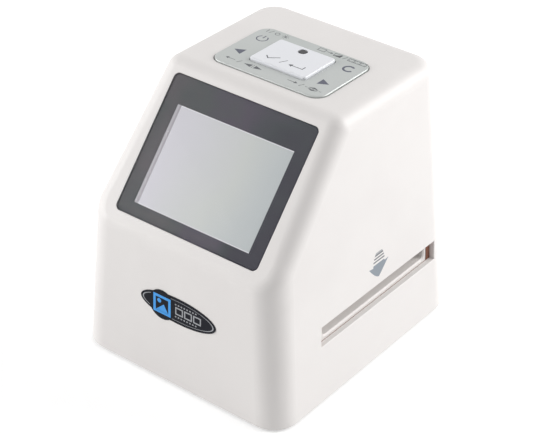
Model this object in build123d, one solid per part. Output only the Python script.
"""Film negative scanner.

A small desk-top scanner for strips of 35 mm film. A one-piece moulded casing leans back to a screen on its
sloping front, a rocking key plate with a centre button sits in its roof, and a straight tunnel runs through
it from side to side for the film holder. Inside, a lamp box shines up through the tunnel into a lens tower.

Lengths are in millimetres. The model is drawn with z = 0 at the casing's bottom edge, x to the right and
y to the back, and is lifted onto its rubber feet as it is saved.
"""
from build123d import *
from math import atan2, cos, sin, tan
import os

# Casing: its outside, measured at the bottom edge, and how far each wall leans in per millimetre of height
body_width = 89.0
body_depth = 104.86
body_height = 100.85
bend_height = 54.2
slope_run = 38.65
side_draft = 0.075
front_draft = 0.011
back_draft = 0.08
corner_radius = 9.75
rim_radius = 5.9
wall = 2.0

# Screen: sizes across the slope and up it, and distances up the slope from the bend
window_inset = 14.35
window_height = 50.5
window_start = 5.1
window_radius = 2.1
window_thickness = 1.2
mask_thickness = 0.2
mask_rim = 0.25
frame_side = 5.975
frame_low = 4.6
frame_high = 10.0
ledge_width = 2.4
panel_gap = 0.8
panel_thickness = 1.5
tray_depth = 3.0
tray_wall = 0.4
bracket_thickness = 1.6
bracket_rim = 7.0
bracket_screw_reach = 2.05
bracket_screw_spacing = 28.0

# Key plate and centre button in the roof
plate_width = 46.2
plate_depth = 31.4
plate_setback = 21.15
plate_radius = 4.8
plate_proud = 0.6
plate_round = 0.45
plate_thickness = 1.5
plate_gap = 0.35
button_width = 23.4
button_depth = 17.8
button_offset = 0.61
button_radius = 1.1
button_round = 0.5
button_proud = 1.64
button_gap = 0.35
button_wall = 1.3
button_travel = 0.6
skirt_wall = 1.1
flange_reach = 1.3
flange_thickness = 1.2
light_radius = 1.75
light_dome = 0.5
light_setback = 5.8
pivot_depth = 4.6
pivot_radius = 0.9
pivot_clearance = 0.05
ring_gap = 0.9
ring_wall = 1.5
ring_height = 2.2
lug_gap = 0.3
lug_thickness = 1.8
lug_width = 5.0
presser_radius = 1.5
presser_gap = 0.8
switch_reach_x = 18.5
switch_reach_y = 11.8
switch_width = 6.0
switch_body_height = 3.1
switch_plunger_radius = 1.75
switch_height = 3.7
carrier_width = 62.0
carrier_depth = 34.0
carrier_thickness = 1.2
board_thickness = 1.6
key_board_depth = 9.25

# Film tunnel
film_width = 61.4
film_height = 6.0
tunnel_inset = 45.5
tunnel_floor = 23.5
tunnel_wall = 1.5
floor_thickness = 2.0
floor_skin = 0.5
roof_thickness = 1.6
tunnel_end_gap = 0.3
tunnel_corner = 1.6
tunnel_lead_in = 0.5
slot_length = 69.0
slot_low = 22.2
slot_high = 29.8
slot_edge = 0.3
gate_length = 38.0
gate_width = 26.0
ear_radius = 3.0
ear_inset = 11.5
ear_reach = 2.9
pillar_bite = 10.4

# Click plunger that finds each frame of the holder
plunger_x = 26.0
plunger_edge = 1.9
plunger_radius = 1.2
plunger_proud = 0.8
plunger_shoulder = 1.7
plunger_shoulder_height = 2.0
plunger_clearance = 0.08
plunger_lip = 0.8
plunger_boss_wall = 1.0
plunger_spring_length = 4.2
plunger_cap_height = 1.5
spring_wire = 0.25
spring_turns = 5

# Lamp box under the tunnel
lamp_length = 46.0
lamp_width = 34.0
lamp_depth = 10.9
lamp_wall = 3.0
lamp_floor = 1.6
diffuser_thickness = 1.8
diffuser_lap = 1.2
lamp_board_thickness = 1.2
led_rows = 3
led_columns = 4
led_pitch = 8.0
lamp_screw_x = 26.5
lamp_screw_y = 12.0
lamp_ear_drop = 2.0
lamp_ear_thickness = 1.5

# Lens tower over the tunnel
tower_length = 46.0
tower_width = 34.0
tower_wall = 1.8
tower_neck = 22.0
tower_corner = 2.0
tower_headroom = 28.0
tower_neck_height = 10.0
tower_flange = 28.0
tower_flange_thickness = 2.0
tower_screw_x = 27.5
tower_screw_y = 12.0
tower_boss_height = 4.0
lens_radius = 6.5
lens_length = 13.0
lens_bore = 4.6
lens_seat = 3.4
lens_thickness = 2.4
lens_edge = 1.0
filter_thickness = 0.6
sensor_board_thickness = 1.2
sensor_size = 11.0
sensor_thickness = 1.2

# Base plate, feet and main board
base_recess = 0.5
base_thickness = 2.0
base_gap = 0.25
base_boss_radius = 3.0
base_boss_height = 10.0
base_boss_inset = 6.3
foot_radius = 5.0
foot_proud = 1.0
foot_sink = 0.7
foot_inset = 14.0
vent_count = 6
vent_pitch = 5.0
vent_length = 22.0
vent_width = 1.6
board_low = 6.0
board_gap = 0.5
board_corner = 1.0
board_front_inset = 12.4
board_back_inset = 3.8
standoff_radius = 2.5
standoff_front_inset = 4.0
standoff_back_inset = 29.6
chip_gap = 4.0
chip_height = 1.2
processor_size = 14.0
memory_width = 11.0
memory_depth = 8.0
coil_count = 2
coil_size = 5.0
coil_height = 1.8
card_width = 28.0
card_depth = 24.0
card_height = 2.8
card_inset = 2.0
card_mouth = 24.6
card_mouth_height = 2.3
usb_width = 7.7
usb_depth = 9.2
usb_height = 3.95
usb_x = 10.0
usb_overhang = 2.2
usb_shell = 0.4
socket_gap = 0.4

# Screws, by shank radius
small_screw = 1.0
long_screw = 1.3
small_boss = 2.2
head_radius_ratio = 1.9
head_height_ratio = 1.3
drive_length_ratio = 2.2
drive_width_ratio = 0.5
screw_clearance = 0.15
pilot_clearance = 0.02

# Flat cables
ribbon_thickness = 0.3
ribbon_width = 10.0
ribbon_bend = 2.5
connector_depth = 4.0
connector_height = 2.0
connector_wall = 1.0
key_cable_inset = 10.0
key_socket_inset = 12.6
key_cable_gap = 2.0
sensor_cable_gap = 0.8
screen_cable_x = -14.0
screen_cable_gap = 3.4
screen_socket_inset = 0.4

# Seats of pieces that lie loosely in one another
seat_gap = 0.1


# ---------------------------------------------------------------------------------------------------------
# Places worked out from the sizes above

def corners(reach_x, reach_y, middle_y=0.0):
    """The four corners of a rectangle about the middle plane."""
    return [(x, middle_y + y) for x in (-reach_x, reach_x) for y in (-reach_y, reach_y)]


bend_y = -body_depth / 2 + front_draft * bend_height
slope_top_y = bend_y + slope_run
slope_angle = atan2(body_height - bend_height, slope_run)
slope_out = (0, -sin(slope_angle), cos(slope_angle))
slope = Plane(origin=(0, bend_y, bend_height), x_dir=(1, 0, 0), z_dir=slope_out)
window_width = body_width - 2 * window_inset
window_middle = window_start + window_height / 2
picture_width = window_width - 2 * frame_side
picture_height = window_height - frame_low - frame_high
picture_middle = window_start + frame_low + picture_height / 2
panel_width = window_width - 2 * (ledge_width + panel_gap)
panel_height = window_height - 2 * (ledge_width + panel_gap)
bracket_screw_x = window_width / 2 + bracket_screw_reach

plate_y = slope_top_y + plate_setback
button_y = plate_y + button_offset
roof_inside = body_height - wall
plate_top = body_height + plate_proud
plate_under = plate_top - plate_thickness
button_top = body_height + button_proud
pivot_z = body_height - pivot_depth
key_board_top = body_height - key_board_depth
switch_top = key_board_top + switch_height
flange_bottom = switch_top + button_travel + seat_gap
flange_top = flange_bottom + flange_thickness
skirt_bottom = flange_top + button_gap
presser_bottom = switch_top + presser_gap
carrier_top = key_board_top + carrier_thickness
key_corners = corners(carrier_width / 2 - ear_radius, carrier_depth / 2 - ear_radius, plate_y)
corner_switches = corners(switch_reach_x, switch_reach_y, button_y)

tunnel_y = body_depth / 2 - tunnel_inset
tunnel_roof = tunnel_floor + film_height
tunnel_under = tunnel_floor - floor_thickness
tunnel_top = tunnel_roof + roof_thickness
tunnel_half = film_width / 2 + tunnel_wall
ear_x = body_width / 2 - ear_inset
tunnel_ears = corners(ear_x, tunnel_half + ear_reach, tunnel_y)
plunger_y = tunnel_y + film_width / 2 - plunger_edge
plunger_seat = tunnel_roof + plunger_lip
spring_low = plunger_seat + plunger_shoulder_height
spring_high = spring_low + plunger_spring_length
plunger_boss_top = spring_high + plunger_cap_height

lamp_top = tunnel_under
lamp_bottom = lamp_top - lamp_depth
lamp_board_low = lamp_bottom + lamp_floor
lamp_board_high = lamp_board_low + lamp_board_thickness
lamp_corners = corners(lamp_screw_x, lamp_screw_y, tunnel_y)

tower_top = key_board_top - board_thickness - tower_headroom
tower_cone_top = tower_top - tower_flange_thickness - tower_neck_height
tower_ear_low = tunnel_top + tower_boss_height
tower_corners = corners(tower_screw_x, tower_screw_y, tunnel_y)
lens_low = tower_cone_top - lens_length / 2

base_top = base_recess + base_thickness
base_corners = corners(body_width / 2 - base_boss_inset, body_depth / 2 - base_boss_inset)
foot_x = body_width / 2 - foot_inset
foot_y = body_depth / 2 - foot_inset
board_high = board_low + board_thickness
board_width = 2 * (ear_x - ear_radius - board_gap)
board_front = board_front_inset - body_depth / 2
board_back = body_depth / 2 - board_back_inset
board_middle = (board_front + board_back) / 2
card_x = card_width / 2 + card_inset - board_width / 2
standoff_x = board_width / 2 - ear_radius
standoff_rows = (board_front + standoff_front_inset, board_back - standoff_back_inset)
board_corners = [(x, y) for x in (-standoff_x, standoff_x) for y in standoff_rows]


# ---------------------------------------------------------------------------------------------------------
# Shapes that several pieces are made from

def half_width(height, inset=0.0):
    """Half the casing's width at a height, drawn in by inset."""
    return body_width / 2 - side_draft * height - inset


def back_wall(height, inset=0.0):
    """Where the casing's back wall is at a height, drawn in by inset."""
    return body_depth / 2 - back_draft * height - inset


def between_sides(inset, low):
    """The space between the two leaning side walls."""
    outline = Polyline(
        (-half_width(low, inset), low),
        (-half_width(body_height, inset), body_height),
        (half_width(body_height, inset), body_height),
        (half_width(low, inset), low),
        close=True,
    )
    return extrude(make_face(Plane.XZ * outline), body_depth, both=True)


def casing_form(inset, low=0.0):
    """The casing as a solid, drawn in all round by inset, with its corners and its rim rounded."""
    outline = Polyline(
        (-body_depth / 2 + front_draft * low, low),
        (bend_y, bend_height),
        (slope_top_y, body_height),
        (back_wall(body_height), body_height),
        (back_wall(low), low),
        close=True,
    )
    profile = make_face(outline)
    if inset:
        profile = offset(profile, -inset, kind=Kind.INTERSECTION)
    form = extrude(Plane.YZ * profile, body_width, both=True) & between_sides(inset, low)
    floor_z = form.bounding_box().min.Z
    uprights = [
        edge for edge in form.edges()
        if edge.bounding_box().min.Z < floor_z + wall and edge.bounding_box().size.Z > 0.95 * edge.length
    ]
    form = fillet(uprights, corner_radius - inset)
    rim = [edge for edge in form.edges() if edge.bounding_box().min.Z > floor_z + wall]
    return fillet(rim, rim_radius - inset)


def bar(radius, low, high, x=0.0, y=0.0):
    """Upright round bar between two heights."""
    return Pos(x, y, (low + high) / 2) * Cylinder(radius, high - low)


def block(width, depth, low, high, x=0.0, y=0.0, radius=0.0):
    """Upright block between two heights, with rounded corners if a radius is given."""
    outline = RectangleRounded(width, depth, radius) if radius else Rectangle(width, depth)
    return Pos(x, y, low) * extrude(outline, high - low)


def slope_block(width, height, outer, inner, middle, radius=0.0, x=0.0):
    """Block in the slope's own frame, from depth outer to depth inner under the slope's surface."""
    outline = RectangleRounded(width, height, radius) if radius else Rectangle(width, height)
    return slope * Pos(x, middle, -inner) * extrude(outline, inner - outer)


def cross_drive(radius, height):
    """Cross that is cut into a screw's head, about z = 0."""
    long_side = radius * drive_length_ratio
    short_side = radius * drive_width_ratio
    return Box(long_side, short_side, height) + Box(short_side, long_side, height)


def pan_screw(radius, length):
    """Pan-head screw that hangs down from its seat at z = 0."""
    head_height = radius * head_height_ratio
    head = bar(radius * head_radius_ratio, 0, head_height)
    head = fillet(head.edges().sort_by(Axis.Z)[-1], head_height / 2)
    return head + bar(radius, -length, 0) - Pos(0, 0, head_height) * cross_drive(radius, head_height)


def group(solids):
    """Several separate solids saved under one name."""
    return Compound([piece for shape in solids for piece in shape.solids()])


# ---------------------------------------------------------------------------------------------------------
# Casing and base

def outer_shell():
    """One-piece moulded casing, open below, with its openings, bosses and posts."""
    outside = casing_form(0)
    shell = outside - casing_form(wall, low=-2 * wall)
    for x, y in base_corners:
        shell += bar(base_boss_radius, base_top, base_top + base_boss_height, x, y) & outside
    for x, y in key_corners:
        shell += bar(ear_radius, carrier_top, roof_inside + wall / 2, x, y)
    shell += bracket_bosses()
    for x, y in base_corners:
        shell -= bar(long_screw + pilot_clearance, 0, base_top + base_boss_height * 0.8, x, y)
    for x, y in key_corners:
        shell -= bar(small_screw + pilot_clearance, carrier_top, roof_inside, x, y)
    shell -= screen_opening()
    shell -= block(
        plate_width + 2 * plate_gap, plate_depth + 2 * plate_gap, roof_inside - wall, plate_top,
        y=plate_y, radius=plate_radius + plate_gap,
    )
    shell -= rear_openings()
    return film_slots(shell)


def bracket_places():
    """Where the screen bracket's screws are, across the slope and up it."""
    rows = (window_middle - bracket_screw_spacing / 2, window_middle + bracket_screw_spacing / 2)
    return [(x, row) for x in (-bracket_screw_x, bracket_screw_x) for row in rows]


def bracket_bosses():
    """Short bosses behind the slope that the screen bracket is screwed to."""
    bosses = Part()
    length = bracket_depth() - wall / 2
    for x, row in bracket_places():
        boss = Cylinder(small_boss, length) - Cylinder(small_screw + pilot_clearance, length)
        bosses += slope * Pos(x, row, -(wall + bracket_depth()) / 2 + wall / 4) * boss
    return bosses


def screen_opening():
    """Pocket that the screen window lies in, and the hole behind it that leaves a ledge all round."""
    pocket_depth = window_thickness + mask_thickness
    pocket = slope_block(
        window_width + 2 * seat_gap, window_height + 2 * seat_gap, -wall, pocket_depth,
        window_middle, window_radius,
    )
    hole = slope_block(
        window_width - 2 * ledge_width, window_height - 2 * ledge_width, 0, 1.5 * wall, window_middle,
    )
    return pocket + hole


def rear_openings():
    """Openings in the back wall for the memory card and the cable's plug."""
    reach = 4 * wall
    card_z = board_high + card_height / 2
    card = Box(card_mouth + 2 * socket_gap, reach, card_mouth_height + 2 * socket_gap)
    finger = Cylinder(card_mouth / 4, card_height + 4 * socket_gap)
    openings = Pos(card_x, back_wall(card_z, wall / 2), card_z) * card
    openings += Pos(card_x, back_wall(card_z) + card_mouth / 8 + wall / 2, card_z) * finger
    usb_z = board_high + usb_height / 2
    usb = RectangleRounded(usb_width + 2 * socket_gap, usb_height + 2 * socket_gap, socket_gap * 2)
    usb_place = Plane.XZ * Pos(usb_x, usb_z, -back_wall(usb_z, wall / 2))
    return openings + usb_place * extrude(usb, reach / 2, both=True)


def film_slots(shell):
    """Cuts the two side slots, and rounds their outer edges."""
    middle = (slot_low + slot_high) / 2
    shell -= Pos(0, tunnel_y, middle) * Box(2 * body_width, slot_length, slot_high - slot_low)
    rounded = []
    for edge in shell.edges():
        place = edge.center()
        beyond = abs(place.X) > half_width(place.Z, wall / 4)
        along = abs(place.Y - tunnel_y) < slot_length / 2 + wall / 4
        if beyond and along and slot_low - wall / 4 < place.Z < slot_high + wall / 4:
            rounded.append(edge)
    return fillet(rounded, slot_edge)


def base_plate():
    """Plate that closes the casing below, with pillars for the tunnel and stand-offs for the main board."""
    margin = wall + base_gap
    plate = block(
        2 * half_width(base_top, margin), 2 * back_wall(base_top, margin), base_recess, base_top,
        radius=corner_radius - margin,
    )
    for x, y in tunnel_ears:
        plate += bar(ear_radius, base_top, tunnel_under, x, y)
        plate -= bar(long_screw + pilot_clearance, base_top + wall, tunnel_under, x, y)
    for x, y in board_corners:
        plate += bar(standoff_radius, base_top, board_low, x, y)
        plate -= bar(small_screw + pilot_clearance, base_top - wall / 2, board_low, x, y)
    for x, y in base_corners:
        plate -= bar(long_screw + screw_clearance, base_recess, base_top, x, y)
        plate -= Pos(x, y, base_recess) * sunk_head(screw_clearance)
    for x in (-foot_x, foot_x):
        for y in (-foot_y, foot_y):
            plate -= bar(foot_radius + seat_gap, base_recess, base_recess + foot_sink, x, y)
    for row in range(vent_count):
        vent = SlotOverall(vent_length, vent_width)
        vent_y = tunnel_y + (row - (vent_count - 1) / 2) * vent_pitch
        plate -= Pos(0, vent_y, base_recess) * extrude(vent, base_thickness)
    return plate


def sunk_head(clearance=0.0):
    """Cone of a countersunk screw's head, widest at z = 0 and narrowing upwards."""
    height = long_screw
    return Pos(0, 0, height / 2) * Cone(2 * long_screw + clearance, long_screw + clearance, height)


def base_screws():
    """Four countersunk screws that hold the base plate to the casing."""
    tip = base_thickness + base_boss_height * 0.7
    screw = sunk_head() + bar(long_screw, long_screw, tip) - cross_drive(long_screw, long_screw)
    return group([Pos(x, y, base_recess) * screw for x, y in base_corners])


def foot(x, y):
    """Rubber foot in its round recess, with a rounded lower rim."""
    pad = bar(foot_radius, -foot_proud, base_recess + foot_sink, x, y)
    return fillet(pad.edges().sort_by(Axis.Z)[0], foot_proud / 2)


# ---------------------------------------------------------------------------------------------------------
# Screen

def screen_window():
    """Clear window, flush with the slope, with a softened front edge."""
    window = slope_block(
        window_width - 2 * mask_rim, window_height - 2 * mask_rim, 0, window_thickness,
        window_middle, window_radius - mask_rim,
    )
    front = max(window.faces(), key=lambda face: slope.to_local_coords(face.center()).Z)
    return chamfer(front.edges(), seat_gap)


def screen_mask():
    """Dark frame behind the window, open over the picture, with a low rim round the window's edge."""
    inner = window_thickness + mask_thickness
    mask = slope_block(window_width, window_height, 0, inner, window_middle, window_radius)
    mask -= slope_block(
        window_width - 2 * mask_rim, window_height - 2 * mask_rim, 0, window_thickness,
        window_middle, window_radius - mask_rim,
    )
    return mask - slope_block(picture_width, picture_height, window_thickness, inner, picture_middle)


def panel_front():
    """Depth of the display glass under the slope's surface."""
    return window_thickness + mask_thickness + seat_gap


def bracket_depth():
    """Depth of the bracket's front face under the slope's surface."""
    return panel_front() + tray_depth


def lcd_panel():
    """Display glass."""
    outer = panel_front()
    return slope_block(panel_width, panel_height, outer, outer + panel_thickness, window_middle)


def lcd_tray():
    """Pressed metal tray that holds the display glass and the light behind it."""
    outer = panel_front()
    width = panel_width + 2 * (tray_wall + seat_gap)
    height = panel_height + 2 * (tray_wall + seat_gap)
    tray = slope_block(width, height, outer, bracket_depth(), window_middle)
    inside = slope_block(
        width - 2 * tray_wall, height - 2 * tray_wall, outer, bracket_depth() - tray_wall, window_middle,
    )
    return tray - inside


def lcd_light_guide():
    """White light guide that fills the tray behind the display glass."""
    outer = panel_front() + panel_thickness
    return slope_block(panel_width, panel_height, outer, bracket_depth() - tray_wall, window_middle)


def lcd_bracket():
    """Open frame that presses the display against the casing, on four screwed ears."""
    front = bracket_depth()
    back = front + bracket_thickness
    bracket = slope_block(window_width - 2, window_height - 2, front, back, window_middle, window_radius)
    tip = bracket_screw_x + ear_radius
    root = window_width / 2 - bracket_rim
    ear_corner = ear_radius - seat_gap
    for x, row in bracket_places():
        middle = (tip + root) / 2 if x > 0 else -(tip + root) / 2
        bracket += slope_block(tip - root, 2 * ear_radius, front, back, row, ear_corner, middle)
    bracket -= slope_block(
        window_width - 2 * bracket_rim, window_height - 2 * bracket_rim, front, back,
        window_middle, window_radius,
    )
    bracket -= slope_block(
        ribbon_width + 2 * connector_wall, 2 * bracket_rim, front, back,
        window_start + bracket_rim / 2, x=screen_cable_x,
    )
    hole = Cylinder(small_screw + screw_clearance, 2 * back)
    for x, row in bracket_places():
        bracket -= slope * Pos(x, row, -(front + back) / 2) * hole
    return bracket


def lcd_screws():
    """Four screws that hold the bracket, driven from inside."""
    back = bracket_depth() + bracket_thickness
    screw = Rot(180, 0, 0) * pan_screw(small_screw, back - wall - seat_gap)
    return group([slope * Pos(x, row, -back) * screw for x, row in bracket_places()])


# ---------------------------------------------------------------------------------------------------------
# Keys in the roof

def key_plate():
    """Silver rocking plate with a well for the button, four pressers and two pivot lugs."""
    plate = block(plate_width, plate_depth, plate_under, plate_top, y=plate_y, radius=plate_radius)
    plate = fillet(plate.edges().group_by(Axis.Z)[-1], plate_round)
    well_width = button_width + 2 * button_gap
    well_depth = button_depth + 2 * button_gap
    plate += block(
        well_width + 2 * skirt_wall, well_depth + 2 * skirt_wall, skirt_bottom, plate_under, y=button_y,
        radius=button_radius + button_gap + skirt_wall,
    )
    plate -= block(
        well_width, well_depth, skirt_bottom, plate_top, y=button_y, radius=button_radius + button_gap,
    )
    for x, y in corner_switches:
        plate += bar(presser_radius, presser_bottom, plate_under, x, y)
    for side in (-1, 1):
        plate += pivot_lug(side)
    return plate


def ring_reach():
    """Half the pivot ring's inside, across and along."""
    across = button_width / 2 + flange_reach + ring_gap
    along = button_depth / 2 + flange_reach + ring_gap
    return across, along


def pivot_lug(side):
    """Hanging lug of the key plate that snaps over one of the ring's pins."""
    near = ring_reach()[1] + ring_wall + lug_gap
    middle = button_y + side * (near + lug_thickness / 2)
    low = pivot_z - pivot_radius * 1.6
    lug = block(lug_width, lug_thickness, low, plate_under, y=middle)
    bore = Cylinder(pivot_radius + pivot_clearance, 2 * lug_thickness, rotation=(90, 0, 0))
    mouth = block(1.5 * pivot_radius, 2 * lug_thickness, low, pivot_z, y=middle)
    return lug - Pos(0, middle, pivot_z) * bore - mouth


def rocker_ring():
    """Pivot ring: pins left and right ride in the carrier, pins front and back carry the key plate."""
    across, along = ring_reach()
    low = pivot_z - ring_height / 2
    high = pivot_z + ring_height / 2
    ring = block(2 * (across + ring_wall), 2 * (along + ring_wall), low, high, y=button_y, radius=ring_wall)
    ring -= block(2 * across, 2 * along, low, high, y=button_y, radius=ring_wall / 2)
    pin_length = lug_gap + lug_thickness
    for side in (-1, 1):
        pin = Cylinder(pivot_radius, pin_length + ring_wall / 2, rotation=(90, 0, 0))
        ring += Pos(0, button_y + side * (along + ring_wall * 0.75 + pin_length / 2), pivot_z) * pin
        pin = Cylinder(pivot_radius, pin_length + ring_wall / 2, rotation=(0, 90, 0))
        ring += Pos(side * (across + ring_wall * 0.75 + pin_length / 2), button_y, pivot_z) * pin
    return ring


def key_carrier():
    """Frame under the keys: it lies on the key board and holds the pivot ring in two open bearings."""
    carrier = block(carrier_width, carrier_depth, key_board_top, carrier_top, y=plate_y, radius=ear_radius)
    hole = switch_width + 2 * button_gap
    for x, y in corner_switches + [(0, button_y)]:
        carrier -= block(hole, hole, key_board_top, carrier_top, x, y)
    carrier -= bar(light_radius, key_board_top, carrier_top, 0, button_y + light_setback)
    near = ring_reach()[0] + ring_wall + lug_gap
    for side in (-1, 1):
        x = side * (near + lug_thickness / 2)
        top = pivot_z + pivot_radius * 1.6
        ear = block(lug_thickness, lug_width, carrier_top, top, x, button_y)
        bore = Cylinder(pivot_radius + pivot_clearance, 2 * lug_thickness, rotation=(0, 90, 0))
        ear -= Pos(x, button_y, pivot_z) * bore
        ear -= block(2 * lug_thickness, 1.5 * pivot_radius, pivot_z, top, x, button_y)
        carrier += ear
    for x, y in key_corners:
        carrier -= bar(small_screw + screw_clearance, key_board_top, carrier_top, x, y)
    return carrier


def ok_button():
    """Centre button: a hollow cap with a stop flange below and a nose over its switch."""
    cap = block(button_width, button_depth, flange_bottom, button_top, y=button_y, radius=button_radius)
    cap = fillet(cap.edges().group_by(Axis.Z)[-1], button_round)
    flange_width = button_width + 2 * flange_reach
    flange_depth = button_depth + 2 * flange_reach
    cap += block(flange_width, flange_depth, flange_bottom, flange_top, y=button_y, radius=button_radius)
    cap -= block(
        button_width - 2 * button_wall, button_depth - 2 * button_wall, flange_bottom,
        button_top - button_wall, y=button_y, radius=button_radius / 2,
    )
    cap += bar(switch_plunger_radius, flange_bottom, button_top - button_wall / 2, 0, button_y)
    light_y = button_y + light_setback
    cap += bar(light_radius + button_wall / 2, pivot_z, button_top - button_wall / 2, 0, light_y)
    return cap - bar(light_radius, flange_bottom, button_top, 0, light_y)


def led_light_pipe():
    """Smoky light pipe in the button, over the lamp on the key board, with a domed end."""
    light_y = button_y + light_setback
    pipe = bar(light_radius - pilot_clearance, pivot_z, button_top - seat_gap / 2, 0, light_y)
    return fillet(pipe.edges().sort_by(Axis.Z)[-1], light_dome)


def key_board():
    """Circuit board under the keys."""
    low = key_board_top - board_thickness
    board = block(carrier_width, carrier_depth, low, key_board_top, y=plate_y, radius=ear_radius)
    for x, y in key_corners:
        board -= bar(small_screw + screw_clearance, low, key_board_top, x, y)
    return board


def key_switches():
    """Five click switches: one under the button and one under each corner of the key plate."""
    switch = block(switch_width, switch_width, 0, switch_body_height)
    switch += bar(switch_plunger_radius, switch_body_height, switch_height)
    switch = fillet(switch.edges().sort_by(Axis.Z)[-1], (switch_height - switch_body_height) / 2)
    return group([Pos(x, y, key_board_top) * switch for x, y in corner_switches + [(0, button_y)]])


def status_lamp():
    """Small lamp on the key board under the light pipe."""
    top = key_board_top + light_radius / 2
    return block(light_radius, light_radius, key_board_top, top, y=button_y + light_setback)


def key_screws():
    """Four screws up through the key board and the carrier into the roof's posts."""
    seat = key_board_top - board_thickness
    screw = Rot(180, 0, 0) * pan_screw(small_screw, roof_inside - seat - wall)
    return group([Pos(x, y, seat) * screw for x, y in key_corners])


# ---------------------------------------------------------------------------------------------------------
# Film tunnel

def ear(x, y, low, high):
    """Screw ear on the tunnel's side, joined to its long wall."""
    toward = 1 if y < tunnel_y else -1
    reach = ear_reach + tunnel_wall / 2
    web = block(2 * ear_radius, reach, low, high, x, y + toward * reach / 2)
    return bar(ear_radius, low, high, x, y) + web


def film_track():
    """Floor and long walls of the tunnel: a channel with a lit window, cut to the leaning sides."""
    track = block(2 * body_width, 2 * tunnel_half, tunnel_under, tunnel_roof, y=tunnel_y)
    passage = Box(3 * body_width, film_width, 2 * film_height)
    passage = Pos(0, tunnel_y, tunnel_floor + film_height) * passage
    passage = fillet(passage.edges().filter_by(Axis.X).group_by(Axis.Z)[0], tunnel_corner)
    track = (track - passage) & between_sides(wall + tunnel_end_gap, 0)
    mouths = []
    for edge in track.edges():
        place = edge.center()
        at_end = abs(place.X) > half_width(place.Z, wall + tunnel_end_gap + seat_gap)
        inside = abs(place.Y - tunnel_y) < film_width / 2 + seat_gap
        if at_end and inside and tunnel_floor - seat_gap < place.Z < tunnel_roof - seat_gap:
            mouths.append(edge)
    track = chamfer(mouths, tunnel_lead_in)
    for x, y in tunnel_ears:
        track += ear(x, y, tunnel_under, tunnel_roof)
    track -= block(gate_length, gate_width, tunnel_under, tunnel_floor, y=tunnel_y, radius=tunnel_corner)
    for x, y in lamp_corners:
        boss_low = tunnel_under - lamp_ear_drop
        track += bar(small_boss, boss_low, tunnel_under, x, y)
        track -= bar(small_screw + pilot_clearance, boss_low, tunnel_floor - floor_skin, x, y)
    for x, y in tunnel_ears:
        track -= bar(long_screw + screw_clearance, tunnel_under, tunnel_roof, x, y)
    return track


def film_cover():
    """Roof of the tunnel: the lens's window, the tower's bosses and the click plunger's barrel."""
    cover = block(2 * body_width, 2 * tunnel_half, tunnel_roof, tunnel_top, y=tunnel_y)
    cover = cover & between_sides(wall + tunnel_end_gap, 0)
    for x, y in tunnel_ears:
        cover += ear(x, y, tunnel_roof, tunnel_top)
        cover -= bar(long_screw + screw_clearance, tunnel_roof, tunnel_top, x, y)
    cover -= block(gate_length, gate_width, tunnel_roof, tunnel_top, y=tunnel_y, radius=tunnel_corner)
    for x, y in tower_corners:
        cover += bar(ear_radius, tunnel_top, tower_ear_low, x, y)
        cover -= bar(small_screw + pilot_clearance, tunnel_top, tower_ear_low, x, y)
    barrel = plunger_shoulder + plunger_clearance
    cover += bar(barrel + plunger_boss_wall, tunnel_top, plunger_boss_top, plunger_x, plunger_y)
    cover -= bar(barrel, plunger_seat, plunger_boss_top, plunger_x, plunger_y)
    return cover - bar(plunger_radius + plunger_clearance, tunnel_roof, plunger_seat, plunger_x, plunger_y)


def track_screws():
    """Four long screws through the tunnel's ears into the base plate's pillars."""
    length = tunnel_top - tunnel_under + pillar_bite
    return group([Pos(x, y, tunnel_top) * pan_screw(long_screw, length) for x, y in tunnel_ears])


def detent_plunger():
    """Round-nosed plunger whose tip stands into the tunnel and clicks into the film holder's notches."""
    tip = bar(plunger_radius, tunnel_roof - plunger_proud, plunger_seat, plunger_x, plunger_y)
    tip = fillet(tip.edges().sort_by(Axis.Z)[0], plunger_proud)
    return tip + bar(plunger_shoulder, plunger_seat, spring_low, plunger_x, plunger_y)


def detent_spring():
    """Coil spring over the plunger."""
    coil_radius = plunger_shoulder - spring_wire - plunger_clearance
    height = spring_high - spring_low - 2 * spring_wire
    path = Helix(height / spring_turns, height, coil_radius, center=(0, 0, spring_low + spring_wire))
    section = Plane(origin=path @ 0, z_dir=path % 0) * Circle(spring_wire * 0.9)
    return Pos(plunger_x, plunger_y, 0) * sweep(section, path=path)


def detent_cap():
    """Plug that closes the plunger's barrel and carries the spring's upper end."""
    cap = bar(plunger_shoulder, spring_high, plunger_boss_top, plunger_x, plunger_y)
    return chamfer(cap.edges().sort_by(Axis.Z)[-1], seat_gap * 2)


# ---------------------------------------------------------------------------------------------------------
# Lamp box

def lamp_box():
    """White box under the tunnel, open at the top, with a rebate for the diffuser and four ears."""
    box = block(lamp_length, lamp_width, lamp_bottom, lamp_top, y=tunnel_y, radius=lamp_wall / 2)
    ear_high = tunnel_under - lamp_ear_drop
    for x, y in lamp_corners:
        toward = -1 if x > 0 else 1
        reach = abs(x) - lamp_length / 2 + lamp_wall / 2
        low = ear_high - lamp_ear_thickness
        box += bar(small_boss, low, ear_high, x, y)
        box += block(reach, 2 * small_boss, low, ear_high, x + toward * reach / 2, y)
    box -= block(
        lamp_length - 2 * lamp_wall, lamp_width - 2 * lamp_wall, lamp_board_low, lamp_top,
        y=tunnel_y, radius=lamp_wall / 2,
    )
    rebate = 2 * (diffuser_lap - lamp_wall)
    box -= block(
        lamp_length + rebate, lamp_width + rebate, lamp_top - diffuser_thickness, lamp_top,
        y=tunnel_y, radius=lamp_wall / 2,
    )
    for x, y in lamp_corners:
        box -= bar(small_screw + screw_clearance, lamp_bottom, ear_high, x, y)
    plug_hole = block(
        connector_depth + ribbon_width, connector_depth, lamp_bottom, lamp_board_low, y=tunnel_y,
    )
    return box - plug_hole


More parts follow.
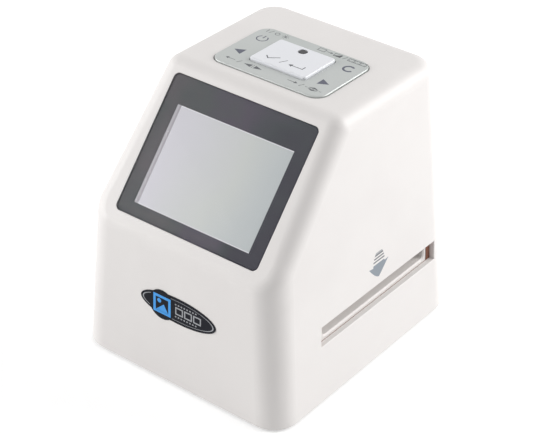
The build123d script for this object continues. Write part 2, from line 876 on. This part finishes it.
def light_diffuser():
    """Opal plate that spreads the light, in the lamp box's rebate."""
    rebate = 2 * (diffuser_lap - lamp_wall - seat_gap)
    return block(
        lamp_length + rebate, lamp_width + rebate, lamp_top - diffuser_thickness, lamp_top - seat_gap,
        y=tunnel_y, radius=lamp_wall / 2,
    )


def lamp_board():
    """Circuit board on the lamp box's floor."""
    margin = 2 * (lamp_wall + seat_gap)
    return block(
        lamp_length - margin, lamp_width - margin, lamp_board_low, lamp_board_high,
        y=tunnel_y, radius=lamp_wall / 2,
    )


def lamp_leds():
    """Rows of white light-emitting diodes."""
    led_width = led_pitch * 0.4
    led_height = led_width / 3
    leds = []
    for column in range(led_columns):
        for row in range(led_rows):
            x = (column - (led_columns - 1) / 2) * led_pitch
            y = tunnel_y + (row - (led_rows - 1) / 2) * led_pitch
            leds.append(block(led_width, led_width, lamp_board_high, lamp_board_high + led_height, x, y))
    return group(leds)


def lamp_plug():
    """Plug between the main board and the lamp board, through the lamp box's floor."""
    return block(ribbon_width, connector_depth - 2 * seat_gap, board_high, lamp_board_low, y=tunnel_y)


def lamp_screws():
    """Four screws that hang the lamp box under the tunnel."""
    seat = tunnel_under - lamp_ear_drop - lamp_ear_thickness
    screw = Rot(180, 0, 0) * pan_screw(small_screw, tunnel_floor - seat - 2 * floor_skin)
    return group([Pos(x, y, seat) * screw for x, y in lamp_corners])


# ---------------------------------------------------------------------------------------------------------
# Lens tower

def tower_shape(inset):
    """The tower's funnel and neck, drawn in by inset."""
    foot_outline = RectangleRounded(tower_length - 2 * inset, tower_width - 2 * inset, tower_corner)
    neck_side = tower_neck - 2 * inset
    neck_outline = RectangleRounded(neck_side, neck_side, tower_corner)
    low = Plane.XY.offset(tunnel_top) * foot_outline
    high = Plane.XY.offset(tower_cone_top) * neck_outline
    funnel = loft([low, high], ruled=True)
    neck = block(neck_side, neck_side, tower_cone_top, tower_top, radius=tower_corner)
    return Pos(0, tunnel_y, 0) * (funnel + neck)


def lens_tower():
    """Hollow black funnel that keeps stray light out, with the lens's collar and the sensor's seat."""
    tower = tower_shape(0)
    flange_low = tower_top - tower_flange_thickness
    tower += block(tower_flange, tower_flange, flange_low, tower_top, y=tunnel_y, radius=tower_corner)
    ear_high = tower_ear_low + tower_flange_thickness
    for x, y in tower_corners:
        toward = -1 if x > 0 else 1
        reach = abs(x) - tower_neck / 2
        tower += bar(ear_radius, tower_ear_low, ear_high, x, y)
        tower += block(reach, 2 * ear_radius, tower_ear_low, ear_high, x + toward * reach / 2, y)
    tower -= tower_shape(tower_wall)
    collar_low = tower_cone_top - tower_wall
    collar_high = tower_cone_top + tower_wall
    tower += block(tower_neck - tower_wall, tower_neck - tower_wall, collar_low, collar_high, y=tunnel_y)
    tower -= bar(lens_radius + pilot_clearance, collar_low, collar_high, 0, tunnel_y)
    for x, y in tower_corners:
        tower -= bar(small_screw + screw_clearance, tower_ear_low, ear_high, x, y)
    for x, y in sensor_places():
        tower -= bar(small_screw + pilot_clearance, flange_low, tower_top, x, y)
    return tower


def sensor_places():
    """The sensor board's two screws, in opposite corners of the tower's flange."""
    reach = (tower_flange + tower_neck) / 4
    return [(reach, tunnel_y - reach), (-reach, tunnel_y + reach)]


def lens_barrel():
    """Threaded barrel in the tower's collar, with a stepped bore."""
    high = lens_low + lens_length
    barrel = bar(lens_radius, lens_low, high, 0, tunnel_y)
    barrel = chamfer(barrel.edges().group_by(Axis.Z)[0], seat_gap * 5)
    barrel -= bar(lens_bore, lens_low, high, 0, tunnel_y)
    waist = bar(lens_bore, lens_low + lens_seat + lens_thickness, high - 2 * filter_thickness, 0, tunnel_y)
    return barrel + (waist - bar(lens_bore - 1, lens_low, high, 0, tunnel_y))


def lens():
    """Glass lens, bulging on both sides, seated in the barrel."""
    half = lens_thickness / 2
    bulge = half - lens_edge / 2
    rim = lens_bore - seat_gap / 2
    outline = Polyline((0, -half), (0, half))
    upper = ThreePointArc((0, half), (rim * 0.5, half - bulge * 0.25), (rim, lens_edge / 2))
    lower = ThreePointArc((0, -half), (rim * 0.5, -half + bulge * 0.25), (rim, -lens_edge / 2))
    edge = Line((rim, -lens_edge / 2), (rim, lens_edge / 2))
    profile = make_face([outline, upper, edge, lower])
    return Pos(0, tunnel_y, lens_low + lens_seat + half) * revolve(Plane.XZ * profile, Axis.Z)


def infrared_filter():
    """Tinted glass disc on the barrel's upper seat."""
    low = lens_low + lens_length - 2 * filter_thickness
    return bar(lens_bore - seat_gap / 2, low, low + filter_thickness, 0, tunnel_y)


def sensor_board():
    """Circuit board on the tower's flange."""
    high = tower_top + sensor_board_thickness
    board = block(tower_flange, tower_flange, tower_top, high, y=tunnel_y, radius=board_corner)
    for x, y in sensor_places():
        board -= bar(small_screw + screw_clearance, tower_top, high, x, y)
    return board


def sensor_chip():
    """Picture sensor, facing down the tower."""
    return block(sensor_size, sensor_size, tower_top - sensor_thickness, tower_top, y=tunnel_y)


def sensor_screws():
    """Two screws that hold the sensor board."""
    screw = pan_screw(small_screw, sensor_board_thickness + tower_flange_thickness - seat_gap)
    return group([Pos(x, y, tower_top + sensor_board_thickness) * screw for x, y in sensor_places()])


def tower_screws():
    """Four screws that hold the tower on the tunnel's roof."""
    seat = tower_ear_low + tower_flange_thickness
    screw = pan_screw(small_screw, tower_flange_thickness + tower_boss_height - 2 * seat_gap)
    return group([Pos(x, y, seat) * screw for x, y in tower_corners])


# ---------------------------------------------------------------------------------------------------------
# Main board and its sockets

def main_board():
    """Main circuit board on the base plate's stand-offs."""
    depth = board_back - board_front
    board = block(board_width, depth, board_low, board_high, y=board_middle, radius=board_corner)
    for x, y in board_corners:
        board -= bar(small_screw + screw_clearance, board_low, board_high, x, y)
    return board


def board_screws():
    """Four screws that hold the main board on its stand-offs."""
    screw = pan_screw(small_screw, board_thickness + board_low - base_top)
    return group([Pos(x, y, board_high) * screw for x, y in board_corners])


def board_chips():
    """Processor, memory and power parts on the main board."""
    left = -board_width / 4
    right = board_width / 3
    front_row = tunnel_y - lamp_width / 2 - chip_gap
    processor = block(processor_size, processor_size, board_high, board_high + chip_height, left, front_row)
    memory = block(memory_width, memory_depth, board_high, board_high + chip_height, -left, front_row)
    parts = [processor, memory]
    for row in range(coil_count):
        y = tunnel_y + row * 2 * coil_size
        parts.append(block(coil_size, coil_size, board_high, board_high + coil_height, right, y))
    return group(parts)


def card_socket():
    """Memory-card socket at the board's back edge: a pressed cover over a card-wide slot."""
    middle = board_back - card_depth / 2
    socket = block(card_width, card_depth, board_high, board_high + card_height, card_x, middle)
    slot_z = board_high + card_height / 2
    slot_depth = card_depth - 2 * wall
    slot = Box(card_mouth, slot_depth, card_mouth_height)
    return socket - Pos(card_x, board_back - slot_depth / 2, slot_z) * slot


def usb_socket():
    """Small five-pole cable socket that reaches into the back wall, with its tongue inside."""
    back = board_back + usb_overhang
    middle = back - usb_depth / 2
    shape = block(usb_width, usb_depth, board_high, board_high + usb_height, usb_x, middle)
    shape = chamfer(shape.edges().filter_by(Axis.Y).group_by(Axis.Z)[0], usb_height / 4)
    hollow_depth = usb_depth - 4 * usb_shell
    hollow = block(
        usb_width - 2 * usb_shell, hollow_depth, board_high + usb_shell,
        board_high + usb_height - usb_shell, usb_x, back - hollow_depth / 2,
    )
    hollow = chamfer(hollow.edges().filter_by(Axis.Y).group_by(Axis.Z)[0], usb_height / 4)
    tongue_depth = hollow_depth - 2 * usb_shell
    tongue_low = board_high + usb_height / 2
    tongue = block(
        usb_width / 2, tongue_depth, tongue_low, tongue_low + 2 * usb_shell, usb_x,
        back - hollow_depth + tongue_depth / 2,
    )
    return shape - hollow + tongue


# ---------------------------------------------------------------------------------------------------------
# Flat cables and the connectors that they plug into

def connector(x, y, low, facing):
    """Flat-cable connector with its mouth towards facing (1 is the back, -1 the front)."""
    body = block(ribbon_width + 2 * connector_wall, connector_depth, low, low + connector_height, x, y)
    mouth = block(
        ribbon_width + seat_gap, connector_depth, low + (connector_height - 2 * ribbon_thickness) / 2,
        low + (connector_height + 2 * ribbon_thickness) / 2, x, y + facing * connector_depth / 2,
    )
    return body - mouth


def ribbon(x, points):
    """Flat cable along points in a lengthwise plane, with every corner bent to one radius."""
    centre = FilletPolyline(*points, radius=ribbon_bend)
    strip = trace(centre, line_width=ribbon_thickness)
    return Pos(x, 0, 0) * extrude(Plane.YZ * strip, ribbon_width / 2, both=True)


cable_height = connector_height / 2
key_cable_x = board_width / 2 - key_cable_inset
key_socket_y = plate_y + carrier_depth / 2 - connector_depth
key_cable_low_y = board_back - key_socket_inset
key_cable_drop = tunnel_y + tunnel_half + key_cable_gap
sensor_cable_y = tunnel_y - tunnel_half - sensor_cable_gap
sensor_socket_y = sensor_cable_y + ribbon_bend + connector_depth
sensor_top_y = tunnel_y - tower_flange / 2 + connector_depth / 2
lcd_cable_y = board_front - screen_cable_gap
lcd_socket_y = board_front + connector_depth / 2 + screen_socket_inset


def key_ribbon():
    """Flat cable from the key board down behind the tunnel to the main board."""
    high = key_board_top - board_thickness - cable_height
    low = board_high + cable_height
    return ribbon(key_cable_x, [
        (key_socket_y + seat_gap, high), (key_cable_drop, high), (key_cable_drop, low),
        (key_cable_low_y + seat_gap, low),
    ])


def sensor_ribbon():
    """Flat cable from the sensor board down in front of the tunnel to the main board."""
    high = tower_top + sensor_board_thickness + cable_height
    low = board_high + cable_height
    return ribbon(0, [
        (sensor_top_y - seat_gap, high), (sensor_cable_y, high), (sensor_cable_y, low),
        (sensor_socket_y - seat_gap, low),
    ])


def lcd_ribbon():
    """Flat cable from the display's back, through the bracket's notch, down to the main board."""
    tail_place = Pos(0, window_start + 2 * bracket_rim, -(bracket_depth() + ribbon_thickness))
    tail = (slope * tail_place).position
    low = board_high + cable_height
    return ribbon(screen_cable_x, [
        (tail.Y, tail.Z),
        (lcd_cable_y, tail.Z - (tail.Y - lcd_cable_y) * tan(slope_angle)),
        (lcd_cable_y, low),
        (lcd_socket_y - seat_gap, low),
    ])


def ribbon_connectors():
    """Connectors on the key board, the sensor board and the main board."""
    key_low = key_board_top - board_thickness - connector_height
    return group([
        connector(key_cable_x, key_socket_y, key_low, 1),
        connector(key_cable_x, key_cable_low_y, board_high, 1),
        connector(0, sensor_top_y, tower_top + sensor_board_thickness, -1),
        connector(0, sensor_socket_y, board_high, -1),
        connector(screen_cable_x, lcd_socket_y, board_high, -1),
    ])


# ---------------------------------------------------------------------------------------------------------
# Every piece, stood on its feet and saved under its own name

pieces = {
    "outer_shell": outer_shell,
    "base_plate": base_plate,
    "base_screws": base_screws,
    "foot_front_left": lambda: foot(-foot_x, -foot_y),
    "foot_front_right": lambda: foot(foot_x, -foot_y),
    "foot_rear_left": lambda: foot(-foot_x, foot_y),
    "foot_rear_right": lambda: foot(foot_x, foot_y),
    "screen_window": screen_window,
    "screen_mask": screen_mask,
    "lcd_panel": lcd_panel,
    "lcd_tray": lcd_tray,
    "lcd_light_guide": lcd_light_guide,
    "lcd_bracket": lcd_bracket,
    "lcd_screws": lcd_screws,
    "lcd_ribbon": lcd_ribbon,
    "key_plate": key_plate,
    "ok_button": ok_button,
    "led_light_pipe": led_light_pipe,
    "rocker_ring": rocker_ring,
    "key_carrier": key_carrier,
    "key_board": key_board,
    "key_switches": key_switches,
    "status_lamp": status_lamp,
    "key_screws": key_screws,
    "key_ribbon": key_ribbon,
    "film_track": film_track,
    "film_cover": film_cover,
    "track_screws": track_screws,
    "detent_plunger": detent_plunger,
    "detent_spring": detent_spring,
    "detent_cap": detent_cap,
    "lamp_box": lamp_box,
    "light_diffuser": light_diffuser,
    "lamp_board": lamp_board,
    "lamp_leds": lamp_leds,
    "lamp_plug": lamp_plug,
    "lamp_screws": lamp_screws,
    "lens_tower": lens_tower,
    "lens_barrel": lens_barrel,
    "lens": lens,
    "infrared_filter": infrared_filter,
    "sensor_board": sensor_board,
    "sensor_chip": sensor_chip,
    "sensor_screws": sensor_screws,
    "sensor_ribbon": sensor_ribbon,
    "tower_screws": tower_screws,
    "main_board": main_board,
    "board_screws": board_screws,
    "board_chips": board_chips,
    "card_socket": card_socket,
    "usb_socket": usb_socket,
    "ribbon_connectors": ribbon_connectors,
}

os.makedirs("parts", exist_ok=True)
for name, make in pieces.items():
    export_step(Pos(0, 0, foot_proud) * make(), f"parts/{name}.step")
